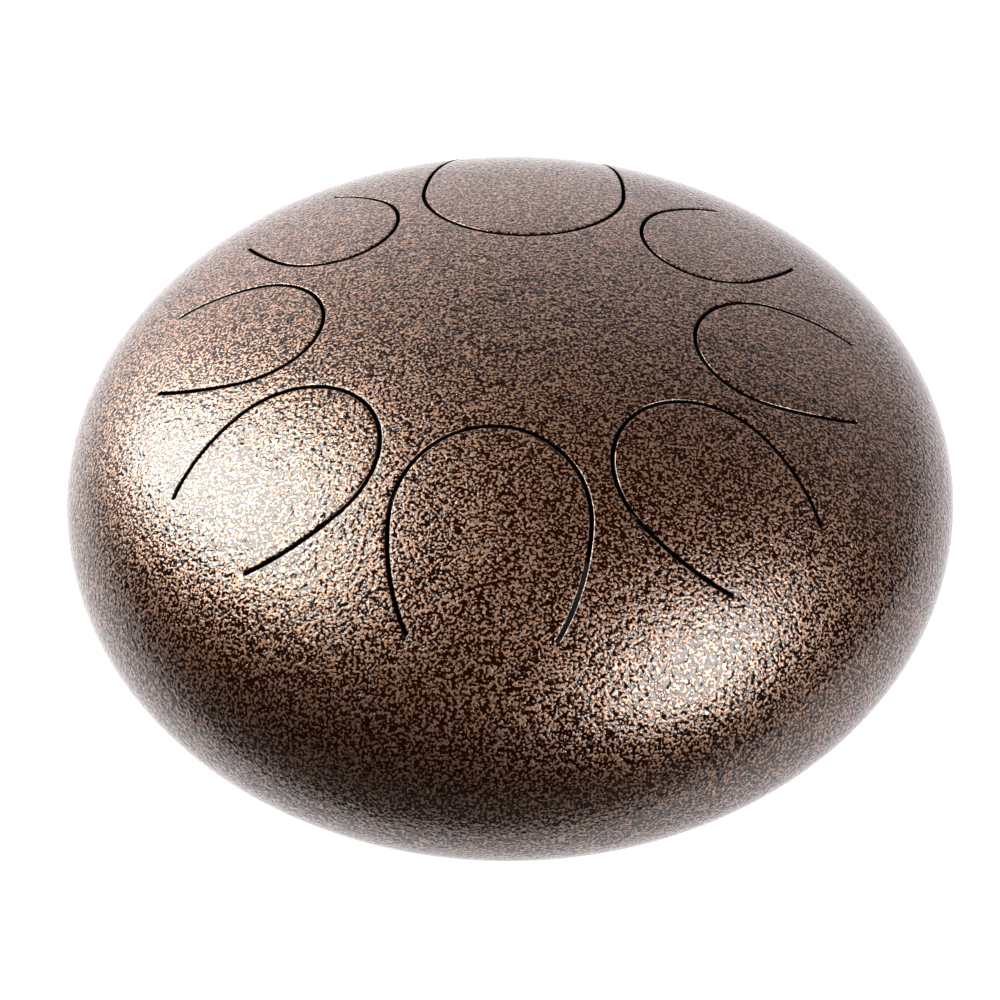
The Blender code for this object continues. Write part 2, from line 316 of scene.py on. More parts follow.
class Seat:
    """Flat frame touching the upper shell at a tongue's widest point: X runs down the slope."""

    def __init__(self, azimuth, radius):
        turn = Matrix.Rotation(FRONT + math.radians(azimuth), 3, "Z")
        touch = np.array([[radius, 0, EQUATOR_Z + float(rise(radius))]])
        normal = outward(touch)[0]
        self.origin = np.array(turn @ Vector(touch[0]))
        self.down = np.array(turn @ Vector((normal[2], 0, -normal[0])))
        self.round = np.array(turn @ Vector((0, 1, 0)))
        self.out = np.array(turn @ Vector(normal))

    def plane(self, flat):
        return self.origin + flat[:, :1] * self.down + flat[:, 1:] * self.round

    def on_shell(self, flat):
        """Drops flat points straight onto the outer surface, by halving."""
        top = self.plane(flat)
        shallow = np.full(len(flat), DROP_RANGE[0])
        deep = np.full(len(flat), DROP_RANGE[1])
        for _ in range(HALVINGS):
            middle = (shallow + deep) / 2
            point = top - middle[:, None] * self.out
            outside = point[:, 2] - EQUATOR_Z > rise(np.hypot(point[:, 0], point[:, 1]))
            shallow = np.where(outside, middle, shallow)
            deep = np.where(outside, deep, middle)
        return top - deep[:, None] * self.out


def resample(points, step):
    """The same open line with evenly spaced points."""
    lengths = np.concatenate([[0], np.cumsum(np.linalg.norm(np.diff(points, axis=0), axis=1))])
    count = max(int(round(lengths[-1] / step)), 2)
    places = np.linspace(0, lengths[-1], count + 1)
    return np.column_stack([np.interp(places, lengths, points[:, axis]) for axis in range(2)])


class Slot:
    """A horseshoe slot: its centre line, the two walls that the kerf leaves, and the tongue's root.

    A wall is its points along the slot with its round ends, and the flat direction into the steel.
    """

    def __init__(self, azimuth, radius, inward, outward_reach, width, root_width):
        self.seat = Seat(azimuth, radius)
        self.line = resample(self.centre_line(inward, outward_reach, width / 2, root_width / 2), SLOT_STEP)
        self.tangent = np.gradient(self.line, axis=0)
        self.tangent /= np.linalg.norm(self.tangent, axis=1)[:, None]
        self.inner = self.wall(1)
        self.outer = self.wall(-1)
        ends = self.inner[0][[0, -1]] + LIP * self.inner[1][[0, -1]]
        count = int(round((ends[1, 1] - ends[0, 1]) / SKIN_STEP))
        share = np.linspace(0, 1, count + 1)[1:-1, None]
        self.root = ends[0] + share * (ends[1] - ends[0])
        self.root_x = ends[0, 0]
        self.tip_x = -inward

    @staticmethod
    def centre_line(inward, outward_reach, half, root_half):
        """Two half ellipses about the widest point, from one slot end round the tip to the other."""
        last = math.acos(root_half / half)
        reach = outward_reach / math.sin(last)
        leg = np.linspace(last, 0, LEG_SAMPLES)
        tip = np.linspace(-math.pi / 2, math.pi / 2, CROWN_SAMPLES)[1:-1]
        near = np.column_stack([reach * np.sin(leg), -half * np.cos(leg)])
        crown = np.column_stack([-inward * np.cos(tip), half * np.sin(tip)])
        return np.concatenate([near, crown, near[::-1] * (1, -1)])

    def wall(self, side):
        across = side * np.column_stack([self.tangent[:, 1], -self.tangent[:, 0]])
        turn = np.linspace(0, math.pi / 2, CAP_STEPS + 1)[:, None]
        first = -np.cos(turn) * self.tangent[0] + np.sin(turn) * across[0]
        last = np.cos(turn) * across[-1] + np.sin(turn) * self.tangent[-1]
        into = np.concatenate([first[:-1], across, last[1:]])
        repeat = np.concatenate([np.repeat(self.line[:1], CAP_STEPS, 0), self.line,
                                 np.repeat(self.line[-1:], CAP_STEPS, 0)])
        return repeat + into * KERF / 2, into


def wall_section():
    """(distance into the steel, depth) down a slot's wall: rounded lip, wall, small lower edge."""
    bend = np.linspace(0, math.pi / 2, LIP_STEPS + 1)
    rows = [(LIP * (1 - math.sin(a)), LIP * (1 - math.cos(a))) for a in bend]
    rows += [(0, LIP + (SHEET - LIP - UNDER_LIP) * share) for share in (0.5, 1)]
    rows += [(UNDER_LIP * (1 - math.cos(a)), SHEET - UNDER_LIP * (1 - math.sin(a)))
             for a in (math.pi / 4, math.pi / 2)]
    return rows


SECTION = wall_section()


def sink(points, depth):
    """Moves points on the outer surface into the steel."""
    return points - depth * outward(points)


def wall_rows(slot, wall):
    """The slot wall as rows of points on the shell, from its top edge to its bottom edge."""
    base, into = wall
    return [sink(slot.seat.on_shell(base + distance * into), depth) for distance, depth in SECTION]


def root_rows(slot):
    """The hidden section across a tongue's root, as rows of points between the two slot ends."""
    line = slot.seat.on_shell(slot.root)
    return [sink(line, depth) for _, depth in SECTION]


# ---------------------------------------------------------------- meshes

class Builder:
    """Collects grids and triangles of a piece, then welds them into one mesh."""

    def __init__(self):
        self.points = []
        self.faces = []

    def add_points(self, points):
        start = sum(len(p) for p in self.points)
        self.points.append(np.asarray(points, float))
        return start

    def add_triangles(self, points, triangles):
        start = self.add_points(points)
        self.faces.extend((triangles + start).tolist())

    def add_grid(self, rows, closed=False):
        """Quads between rows of equal length; a closed grid joins each row's end to its start."""
        count = len(rows[0])
        start = self.add_points(np.concatenate(rows))
        column = np.arange(count if closed else count - 1)
        after = (column + 1) % count
        for row in range(len(rows) - 1):
            low = start + row * count
            high = low + count
            quads = np.column_stack([low + column, low + after, high + after, high + column])
            self.faces.extend(quads.tolist())

    def make(self, name, sharp=SHARP_DEGREES):
        mesh = bpy.data.meshes.new(name)
        mesh.from_pydata(np.concatenate(self.points).tolist(), [], self.faces)
        shape = bmesh.new()
        shape.from_mesh(mesh)
        bmesh.ops.remove_doubles(shape, verts=shape.verts, dist=MERGE_DISTANCE)
        bmesh.ops.dissolve_degenerate(shape, edges=shape.edges, dist=1e-7)
        bmesh.ops.recalc_face_normals(shape, faces=shape.faces)
        shape.to_mesh(mesh)
        shape.free()
        mesh.shade_smooth()
        mesh.set_sharp_from_angle(angle=math.radians(sharp))
        piece = bpy.data.objects.new(name, mesh)
        bpy.context.scene.collection.objects.link(piece)
        return piece


def inside(points, polygon):
    """Whether each flat point is inside a closed polygon, by counting crossings."""
    x, y = points[:, 0], points[:, 1]
    hits = np.zeros(len(points), bool)
    for (ax, ay), (bx, by) in zip(polygon, np.roll(polygon, -1, 0)):
        if ay == by:
            continue
        crosses = (ay > y) != (by > y)
        hits ^= crosses & (x < (bx - ax) * (y - ay) / (by - ay) + ax)
    return hits


def hex_grid(low, high, step):
    """Flat points on a triangular grid."""
    row_step = step * math.sqrt(3) / 2
    rows = np.arange(low[1], high[1] + row_step, row_step)
    columns = np.arange(low[0], high[0] + step, step)
    return np.array([(x + (index % 2) * step / 2, y) for index, y in enumerate(rows) for x in columns])


def fill(outline, holes, step):
    """Triangles of a flat region: its outline and holes keep their points, and a grid fills it."""
    grid = hex_grid(outline.min(0), outline.max(0), step)
    grid = grid[inside(grid, outline)]
    for hole in holes:
        grid = grid[~inside(grid, hole)]
    loops = [outline] + list(holes)
    border = np.concatenate(loops)
    tree = KDTree(len(border))
    for index, (x, y) in enumerate(border):
        tree.insert((x, y, 0), index)
    tree.balance()
    clear = np.array([tree.find((x, y, 0))[2] > CLEAR_OF_BORDER * step for x, y in grid])
    points = np.concatenate([border, grid[clear]])
    edges = []
    start = 0
    for loop in loops:
        count = len(loop)
        edges += [(start + i, start + (i + 1) % count) for i in range(count)]
        start += count
    flat, _, faces, _, _, _ = delaunay_2d_cdt([Vector(p) for p in points], edges, [], 0, 1e-9, False)
    flat = np.array([tuple(p) for p in flat])
    faces = np.array(faces)
    centres = flat[faces].mean(1)
    keep = inside(centres, outline)
    for hole in holes:
        keep &= ~inside(centres, hole)
    return flat, faces[keep]


def rim_circle(height_over_equator):
    """Points round the outer surface at a height over the equator."""
    radius = radius_at(height_over_equator)
    angle = np.linspace(0, 2 * math.pi, RIM_STEPS, endpoint=False)
    height = np.full(RIM_STEPS, EQUATOR_Z + height_over_equator)
    return np.column_stack([radius * np.cos(angle), radius * np.sin(angle), height])


def add_slot_wall(builder, slot, wall):
    """Adds one wall of a slot and the section across the root, and returns the rows of both."""
    rows = wall_rows(slot, wall)
    roots = root_rows(slot)
    builder.add_grid(rows)
    builder.add_grid([np.concatenate([row[-1:], root[::-1], row[:1]]) for row, root in zip(rows, roots)])
    return rows, roots


def build_upper_shell(slots):
    """The upper shell: outer and inner skins, the windows' walls, and its edge at the weld."""
    builder = Builder()
    edge = rim_circle(WELD_HALF)
    windows = []
    under_windows = []
    for slot in slots.values():
        rows, roots = add_slot_wall(builder, slot, slot.outer)
        windows.append(to_map(np.concatenate([rows[0], roots[0][::-1]])))
        flat = np.concatenate([slot.outer[0] + UNDER_LIP * slot.outer[1], slot.root[::-1]])
        under_windows.append(to_map(slot.seat.on_shell(flat)))
    flat, triangles = fill(to_map(edge), windows, SKIN_STEP)
    builder.add_triangles(from_map(flat), triangles)
    flat, triangles = fill(to_map(edge), under_windows, INNER_STEP)
    builder.add_triangles(sink(from_map(flat), SHEET), triangles[:, ::-1])
    builder.add_grid([edge, sink(edge, SHEET)], closed=True)
    return builder.make("upper_shell_skin")


def build_tongue(name, slot):
    """One tongue, rounded along its slot, with a hidden section where it runs into the shell."""
    builder = Builder()
    add_slot_wall(builder, slot, slot.inner)
    base, into = slot.inner
    top = np.concatenate([base + LIP * into, slot.root[::-1]])
    flat, triangles = fill(top, [], SKIN_STEP)
    builder.add_triangles(slot.seat.on_shell(flat), triangles)
    under = np.concatenate([base + UNDER_LIP * into, slot.root[::-1]])
    flat, triangles = fill(under, [], INNER_STEP)
    builder.add_triangles(sink(slot.seat.on_shell(flat), SHEET), triangles[:, ::-1])
    return builder.make(name + "_skin")


def turned(name, section, steps=RIM_STEPS, sharp=SHARP_DEGREES):
    """A closed section of (radius, height) points turned about Z."""
    angle = np.linspace(0, 2 * math.pi, steps, endpoint=False)
    rows = [np.column_stack([r * np.cos(angle), r * np.sin(angle), np.full(steps, z)]) for r, z in section]
    builder = Builder()
    builder.add_grid(rows + rows[:1], closed=True)
    return builder.make(name, sharp)


def lower_section():
    """Section of the lower shell: the outer skin down to the port, its rounded edge, the inner skin up."""
    first = math.asin((WELD_HALF / SHELL_RISE) ** (SHELL_POWER / 2))
    last = math.acos((PORT_RADIUS / BODY_RADIUS) ** (SHELL_POWER / 2))
    radius, height = meridian(first, last, LOWER_SAMPLES)
    arc = arc_lengths(radius, height)
    even = np.linspace(0, arc[-1] - PORT_EDGE, LOWER_STEPS)
    radius = np.interp(even, arc, radius)
    height = np.interp(even, arc, height)
    outer = np.column_stack([radius, np.zeros(len(radius)), EQUATOR_Z - height])
    normals = outward(outer)
    inner = outer - SHEET * normals

    out = normals[-1]
    along = np.array([out[2], 0, -out[0]])
    bend = np.linspace(0, math.pi / 2, PORT_EDGE_STEPS)[1:]
    edge = [outer[-1] + PORT_EDGE * (math.sin(a) * along - (1 - math.cos(a)) * out) for a in bend]
    edge += [inner[-1] + PORT_EDGE * (math.sin(a) * along + (1 - math.cos(a)) * out) for a in bend[::-1]]
    points = np.concatenate([outer, edge, inner[::-INNER_SKIP], inner[:1]])
    return [(p[0], p[2]) for p in points]


def weld_section():
    """The ground weld: flush outside, with a low bead standing into the chamber."""
    outer = [(radius_at(WELD_HALF * share), EQUATOR_Z + WELD_HALF * share) for share in (1, 0.5, 0, -0.5, -1)]
    bend = np.linspace(-math.pi / 2, math.pi / 2, BEAD_STEPS)
    inner = [(BODY_RADIUS - SHEET - WELD_BEAD * math.cos(a), EQUATOR_Z + WELD_HALF * math.sin(a))
             for a in bend]
    return outer + inner


# ---------------------------------------------------------------- feet and fasteners

def foot_seat(index):
    """Frame on the lower shell's outer surface at a foot, with Z out of the steel."""
    azimuth = FRONT + 2 * math.pi * (index + 0.5) / FOOT_COUNT
    ring = np.array([[FOOT_RING_RADIUS, 0, EQUATOR_Z - float(rise(FOOT_RING_RADIUS))]])
    normal = outward(ring)[0]
    tilt = math.atan2(normal[0], normal[2])
    turn = Matrix.Rotation(azimuth, 4, "Z")
    return turn @ Matrix.Translation(ring[0]) @ Matrix.Rotation(tilt, 4, "Y")


def build_rubber_foot(name, seat):
    """A rubber puck: its top lies on the shell, its underside is flat, and a recess takes the screw."""
    turn = np.array(seat.to_3x3())
    base = np.array(seat.translation)
    axis = turn[:, 2]
    angle = np.linspace(0, 2 * math.pi, FOOT_STEPS, endpoint=False)[:, None]
    spoke = np.cos(angle) * turn[:, 0] + np.sin(angle) * turn[:, 1]

    def at_depth(radius, depth):
        return base + radius * spoke + depth * axis

    def at_ground(radius, lift=0.0):
        start = base + radius * spoke
        return start + ((lift - start[:, 2:]) / axis[2]) * axis

    def at_shell(radius, drop=CONTACT):
        start = base + radius * spoke
        low = np.full((FOOT_STEPS, 1), -SEAT_REACH)
        high = np.full((FOOT_STEPS, 1), SEAT_REACH)
        for _ in range(SEAT_HALVINGS):
            middle = (low + high) / 2
            point = start + middle * axis
            in_shell = EQUATOR_Z - point[:, 2:] < rise(np.hypot(point[:, 0], point[:, 1]))[:, None]
            low = np.where(in_shell, middle, low)
            high = np.where(in_shell, high, middle)
        return start + (high + drop) * axis

    def part_way(share):
        radius = FOOT_TOP_RADIUS + share * (FOOT_BOTTOM_RADIUS - FOOT_TOP_RADIUS)
        top = at_shell(radius)
        return top + share * (at_ground(radius) - top)

    rows = [at_shell(FOOT_TOP_RADIUS - inset, drop) for inset, drop in FOOT_TOP_EDGE]
    rows += [part_way(share) for share in (0.2, 0.4, 0.6, 0.8)]
    for bend in np.linspace(0, math.pi / 2, 6):
        inset = FOOT_ROUNDING * (1 - math.cos(bend))
        rows.append(at_ground(FOOT_BOTTOM_RADIUS - inset, FOOT_ROUNDING * (1 - math.sin(bend))))
    rows += [at_ground(RECESS_RADIUS + RECESS_CHAMFER), at_ground(RECESS_RADIUS, RECESS_CHAMFER),
             at_depth(RECESS_RADIUS, FOOT_FLOOR + RECESS_FILLET),
             at_depth(RECESS_RADIUS - RECESS_FILLET, FOOT_FLOOR),
             at_depth(HOLE_RADIUS, FOOT_FLOOR), at_shell(HOLE_RADIUS)]
    builder = Builder()
    builder.add_grid(rows, closed=True)
    builder.add_grid([rows[-1], rows[0]], closed=True)
    return builder.make(name, 40)


def place(piece, seat):
    """Puts a piece that was made round the origin into a foot's frame."""
    piece.data.transform(seat)
    return piece


def cut(piece, cutter):
    """Takes the cutter's volume out of the piece, and removes the cutter."""
    boolean = piece.modifiers.new("cut", "BOOLEAN")
    boolean.object = cutter
    boolean.operation = "DIFFERENCE"
    bpy.context.view_layer.update()
    result = bpy.data.meshes.new_from_object(piece.evaluated_get(bpy.context.evaluated_depsgraph_get()))
    piece.modifiers.clear()
    piece.data = result
    bpy.data.objects.remove(cutter, do_unlink=True)


def driver_cross():
    """The tapered cross that the screwdriver fits, with its top a little over the origin."""
    rows = []
    for height, reach, half in CROSS_SECTIONS:
        arm = [(half, half), (reach, half), (reach, -half)]
        corners = []
        for quarter in range(4):
            angle = -quarter * math.pi / 2
            across, up = math.cos(angle), math.sin(angle)
            corners += [(x * across - y * up, x * up + y * across) for x, y in arm]
        rows.append(np.column_stack([corners, np.full(len(corners), height)]))
    builder = Builder()
    builder.add_grid(rows, closed=True)
    count = len(rows[0])
    builder.faces += [list(range(count)), list(range(2 * count - 1, count - 1, -1))]
    return builder.make("driver_cross")


def build_screw(name, seat):
    """A pan head screw up through the foot and the shell."""
    head_low = FOOT_FLOOR + CONTACT
    head_high = head_low + HEAD_HEIGHT
    nut_low = -SHEET - WASHER_HEIGHT - NUT_HEIGHT - 3 * CONTACT
    end = nut_low - SHANK_PROUD
    section = [(HEAD_RADIUS * math.sin(a), head_high - HEAD_HEIGHT * HEAD_DOME * (1 - math.cos(a)))
               for a in np.linspace(HEAD_START, math.pi / 2, HEAD_STEPS)]
    section += [(HEAD_RADIUS, head_low + HEAD_EDGE), (HEAD_RADIUS - HEAD_EDGE, head_low),
                (SHANK_RADIUS, head_low)]
    crest = head_low - SHANK_PLAIN
    while crest - THREAD_PITCH > end + THREAD_END:
        section += [(SHANK_RADIUS, crest),
                    (SHANK_RADIUS - THREAD_DEPTH, crest - THREAD_PITCH * THREAD_ROOT_AT),
                    (SHANK_RADIUS, crest - THREAD_PITCH * THREAD_CREST_AT)]
        crest -= THREAD_PITCH
    section += [(SHANK_RADIUS - SHANK_POINT, end), (AXIS_RADIUS, end)]
    screw = turned(name, section, SCREW_STEPS, sharp=35)
    cross = driver_cross()
    cross.data.transform(Matrix.Translation((0, 0, head_high)))
    cut(screw, cross)
    return place(screw, seat)


def build_washer(name, seat):
    """A plain washer with broken edges, under the nut."""
    high = -SHEET - CONTACT
    low = high - WASHER_HEIGHT
    edge = WASHER_EDGE
    section = [(WASHER_RADIUS - edge, high), (WASHER_RADIUS, high - edge), (WASHER_RADIUS, low + edge),
               (WASHER_RADIUS - edge, low), (HOLE_RADIUS + edge, low), (HOLE_RADIUS, low + edge),
               (HOLE_RADIUS, high - edge), (HOLE_RADIUS + edge, high)]
    return place(turned(name, section, WASHER_STEPS, sharp=30), seat)


def build_nut(name, seat):
    """A hexagon nut whose corners are turned back to a cone at both ends."""
    high = -SHEET - WASHER_HEIGHT - 2 * CONTACT
    low = high - NUT_HEIGHT
    angle = np.linspace(0, 2 * math.pi, NUT_STEPS, endpoint=False)
    from_flat = (angle + math.pi / 6) % (math.pi / 3) - math.pi / 6
    hexagon = NUT_FLATS / 2 / np.cos(from_flat)
    cone = NUT_FLATS / 2 * NUT_TURNED_BACK
    chamfer = (hexagon - cone) * math.tan(NUT_CONE)
    edge = NUT_BORE_EDGE

    def ring(radius, height):
        return np.column_stack([radius * np.cos(angle), radius * np.sin(angle), np.zeros(NUT_STEPS) + height])

    rows = [ring(cone, high), ring(hexagon, high - chamfer), ring(hexagon, low + chamfer), ring(cone, low),
            ring(HOLE_RADIUS + edge, low), ring(HOLE_RADIUS, low + edge),
            ring(HOLE_RADIUS, high - edge), ring(HOLE_RADIUS + edge, high)]
    builder = Builder()
    builder.add_grid(rows + rows[:1], closed=True)
    return place(builder.make(name, 25), seat)


# ---------------------------------------------------------------- materials

class Nodes:
    """Short calls for building a node tree. Where a call takes a value, a socket can be linked instead."""

    def __init__(self, tree):
        self.tree = tree

    def set(self, socket, value):
        if isinstance(value, bpy.types.NodeSocket):
            self.tree.links.new(value, socket)
        else:
            socket.default_value = value

    def add(self, kind, inputs=None, **settings):
        node = self.tree.nodes.new(kind)
        for key, value in settings.items():
            setattr(node, key, value)
        for key, value in (inputs or {}).items():
            self.set(node.inputs[key], value)
        return node

    def math(self, operation, first, second=0.0, third=0.0):
        return self.add("ShaderNodeMath", {0: first, 1: second, 2: third}, operation=operation).outputs[0]

    def ramp(self, value, low, high, to_low=0.0, to_high=1.0):
        """A smooth step between two values, level outside them."""
        inputs = {"Value": value, "From Min": low, "From Max": high, "To Min": to_low, "To Max": to_high}
        node = self.add("ShaderNodeMapRange", inputs, clamp=True, interpolation_type="SMOOTHSTEP")
        return node.outputs["Result"]

    def mix(self, share, first, second):
        """A blend of two colours; 6 and 7 are the Mix node's colour inputs, and 2 is its colour output."""
        return self.add("ShaderNodeMix", {0: share, 6: first, 7: second}, data_type="RGBA").outputs[2]

    def noise(self, place, scale, detail, roughness=0.5):
        inputs = {"Vector": place, "Scale": scale, "Detail": detail, "Roughness": roughness}
        return self.add("ShaderNodeTexNoise", inputs).outputs["Fac"]

    def bump(self, strength, distance, height):
        inputs = {"Strength": strength, "Distance": distance, "Height": height}
        return self.add("ShaderNodeBump", inputs).outputs[0]

    def shade(self, **inputs):
        """Sets the Principled shader's inputs; an underscore stands for a space in their names."""
        shader = self.tree.nodes["Principled BSDF"]
        for key, value in inputs.items():
            self.set(shader.inputs[key.replace("_", " ")], value)


def new_material(name):
    material = bpy.data.materials.new(name)
    material.use_nodes = True
    return material, Nodes(material.node_tree)


def vein_coat():
    """Copper and black vein powder coat: a copper network round black pits, under a clear gloss.

    The cells follow the attribute rest_place, so they stay on the steel when a tongue bends. Deeper in a
    slot than the attribute depth allows, the colour goes near black and the coat and the metal's shine
    are left off: painted shade for the dark inside of the slot.
    """
    material, n = new_material("vein_coat")
    place = n.add("ShaderNodeAttribute", attribute_name="rest_place").outputs["Vector"]
    depth = n.add("ShaderNodeAttribute", attribute_name="depth").outputs["Fac"]
    cells = n.noise(place, VEIN_SCALE, VEIN_DETAIL)
    drift = n.math("SUBTRACT", n.noise(place, DRIFT_SCALE, 2.0), 0.5)
    level = n.math("ADD", cells, n.math("MULTIPLY", drift, DRIFT_SHARE))
    copper = n.ramp(level, VEIN_LEVEL - VEIN_BELOW, VEIN_LEVEL + VEIN_ABOVE)
    # Painted shade: 0 on the skin, rising to 1 deep in a slot.
    slot_shade = n.ramp(depth, *SLOT_SHADE_DEPTH)

    tone = n.noise(place, TONE_SCALE, 1.0, 0.6)
    hue = n.noise(place, HUE_SCALE, 2.0, 0.6)
    tan = n.mix(n.ramp(tone, 0.35, 0.65), TAN_DARK, TAN_LIGHT)
    tan = n.mix(n.ramp(hue, 0.52, 0.75), tan, TAN_WARM)
    edge = n.mix(n.ramp(copper, 0.0, 0.6), PIT_BLACK, VEIN_EDGE)
    color = n.mix(n.ramp(copper, 0.4, 1.0), edge, tan)
    # Painted shade: the colour turns near black deep in the slots.
    color = n.mix(slot_shade, color, SLOT_PAINTED_SHADE)

    relief = n.ramp(level, VEIN_LEVEL - VEIN_SWELL, VEIN_LEVEL + VEIN_SWELL)
    peel = n.math("MULTIPLY", n.noise(place, PEEL_SCALE, PEEL_DETAIL), COAT_PEEL)
    coat_height = n.math("ADD", n.math("MULTIPLY", relief, COAT_RELIEF), peel)
    on_lips = n.ramp(depth, *SMOOTH_DEPTH, 1.0, SMOOTH_SHARE)
    # Where the painted shade comes in, the coat and the metal's shine are dropped.
    gloss = n.ramp(slot_shade, 0, 1, 1.0, 0.0)
    n.shade(Base_Color=color, Metallic=n.math("MULTIPLY", n.ramp(copper, 0, 1, 0.0, COPPER_METAL), gloss),
            Roughness=COPPER_ROUGHNESS, Specular_IOR_Level=0.0, Normal=n.bump(1.0, VEIN_HEIGHT, relief),
            Coat_Weight=gloss, Coat_Roughness=COAT_ROUGHNESS, Coat_IOR=COAT_IOR,
            Coat_Normal=n.bump(on_lips, COAT_HEIGHT, coat_height))
    return material


def foot_rubber():
    """Moulded black rubber, matt and faintly grained, dusty in patches."""
    material, n = new_material("foot_rubber")
    place = n.add("ShaderNodeTexCoord").outputs["Object"]
    grain = n.noise(place, RUBBER_GRAIN_SCALE, 3.0, 0.6)
    dust = n.noise(place, DUST_SCALE, 4.0, 0.6)
    color = n.mix(n.ramp(dust, 0.4, 0.7), RUBBER_BLACK, RUBBER_DUST)
    n.shade(Base_Color=color, Roughness=n.ramp(dust, 0.3, 0.7, *RUBBER_ROUGHNESS),
            Normal=n.bump(0.3, 0.1 * MM, grain))
    return material


def zinc_steel():
    """Bright zinc plate, slightly clouded, with a faint blue and straw tint."""
    material, n = new_material("zinc_steel")
    place = n.add("ShaderNodeTexCoord").outputs["Object"]
    cloud = n.noise(place, ZINC_CLOUD_SCALE, 3.0, 0.6)
    streak = n.noise(place, ZINC_STREAK_SCALE, 2.0)
    color = n.mix(cloud, ZINC_BLUE, ZINC_STRAW)
    n.shade(Base_Color=color, Metallic=1.0, Roughness=n.ramp(cloud, 0.3, 0.7, *ZINC_ROUGHNESS),
            Normal=n.bump(0.15, 0.05 * MM, streak))
    return material


def floor_white():
    """A white table top, lit from within in a pool round the drum but not right under it, where the fading
    glow is a painted shadow.

    The camera sees all of it as bright as the pool; only lights and reflections tell the two apart.
    """
    material, n = new_material("floor_white")
    place = n.add("ShaderNodeTexCoord").outputs["Object"]
    across = n.add("ShaderNodeSeparateXYZ", {0: place})
    slanted = n.math("MULTIPLY_ADD", across.outputs[0], POOL_SLANT, across.outputs[1])
    front = n.ramp(slanted, POOL_FRONT + POOL_FRONT_BLUR[0], POOL_FRONT + POOL_FRONT_BLUR[1])
    rear = n.ramp(across.outputs[1], POOL_REAR, POOL_REAR + POOL_BLUR, 1.0, 0.0)
    side = n.ramp(n.math("ABSOLUTE", across.outputs[0]), POOL_SIDE, POOL_SIDE + POOL_BLUR, 1.0, 0.0)
    seen = n.add("ShaderNodeLightPath").outputs["Is Camera Ray"]
    pool = n.math("MAXIMUM", n.math("MULTIPLY", n.math("MULTIPLY", front, rear), side), seen)
    lit = n.mix(n.noise(place, FLOOR_MOTTLE_SCALE, 2.0), *FLOOR_LIT)
    apart = n.add("ShaderNodeVectorMath", {0: place}, operation="LENGTH").outputs["Value"]
    # The glow fades out right under the drum, a painted shadow.
    glow = n.math("MULTIPLY", n.ramp(pool, 0, 1, GLOW_OUTSIDE, GLOW_IN_POOL), n.ramp(apart, *SHADOW_UNDER_DRUM))
    n.shade(Base_Color=n.mix(pool, FLOOR_OUTSIDE, lit), Roughness=FLOOR_ROUGHNESS,
            Emission_Color=FLOOR_GLOW, Emission_Strength=glow)
    return material


# ---------------------------------------------------------------- assembly

def store(piece, name, kind, field, values):
    """Stores one value or vector at every vertex of the piece."""
    layer = piece.data.attributes.new(name, kind, "POINT")
    layer.data.foreach_set(field, np.ascontiguousarray(values, np.float32).ravel())


def depth_below_skin(points):
    """How far each point is under the drum's outer skin, in millimetres."""
    offset = points - (0, 0, EQUATOR_Z)
    radius = np.hypot(offset[:, 0], offset[:, 1]) / BODY_RADIUS
    height = np.abs(offset[:, 2]) / SHELL_RISE
    size = (radius ** SHELL_POWER + height ** SHELL_POWER) ** (1 / SHELL_POWER)
    steep = np.hypot(radius ** (SHELL_POWER - 1) / BODY_RADIUS, height ** (SHELL_POWER - 1) / SHELL_RISE)
    return (1 - size) * size ** (SHELL_POWER - 1) / np.maximum(steep, 1e-6) / MM


def finish_piece(piece, materials, slot, body, *nodes):
    """Gives a piece the material of its slot, and lets it ride in place of its CAD nodes."""
    points = np.empty((len(piece.data.vertices), 3), np.float32)
    piece.data.vertices.foreach_get("co", points.ravel())
    store(piece, "rest_place", "FLOAT_VECTOR", "vector", points)
    store(piece, "depth", "FLOAT", "value", depth_below_skin(points.astype(float)))
    piece.data.materials.clear()
    piece.data.materials.append(materials[slot])
    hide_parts(*nodes)
    if body:
        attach(piece, body)
    return piece


def build_drum(materials):
    """The two shells, the weld and the tongues, which meet the upper shell at their roots."""
    slots = {name: Slot(*sizes) for name, sizes in TONGUES.items()}
    finish_piece(build_upper_shell(slots), materials, "vein_coat", DRUM_BODY, "upper_shell")
    weld = turned("weld_seam_skin", weld_section())
    finish_piece(weld, materials, "vein_coat", DRUM_BODY, "weld_seam")
    lower = turned("lower_shell_skin", lower_section())
    for index in range(FOOT_COUNT):
        section = [(HOLE_RADIUS, DRILL_REACH), (HOLE_RADIUS, -DRILL_REACH), (DRILL_RADIUS, -DRILL_REACH),
                   (DRILL_RADIUS, DRILL_REACH)]
        cut(lower, place(turned("drill", section, DRILL_STEPS), foot_seat(index)))
    finish_piece(lower, materials, "vein_coat", DRUM_BODY, "lower_shell")
    for name, slot in slots.items():
        tongue = finish_piece(build_tongue(name, slot), materials, "vein_coat", None, name)
        reach = slot.root_x - slot.tip_x
        ends = np.array([(slot.root_x, 0), (slot.root_x - FLEX_SHARE * reach, 0)])
        start, end = slot.seat.plane(ends)
        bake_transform(tongue)


def build_feet(materials):
    """Every foot with its screw, washer and nut."""
    makers = (("rubber_foot", build_rubber_foot, "foot_rubber"), ("foot_screw", build_screw, "zinc_steel"),
              ("foot_washer", build_washer, "zinc_steel"), ("foot_nut", build_nut, "zinc_steel"))
    for index in range(FOOT_COUNT):
        for kind, make, slot in makers:
            node = "%s_%d" % (kind, index + 1)
            finish_piece(make(node + "_skin", foot_seat(index)), materials, slot, DRUM_BODY, node)


# ---------------------------------------------------------------- stage, light and camera

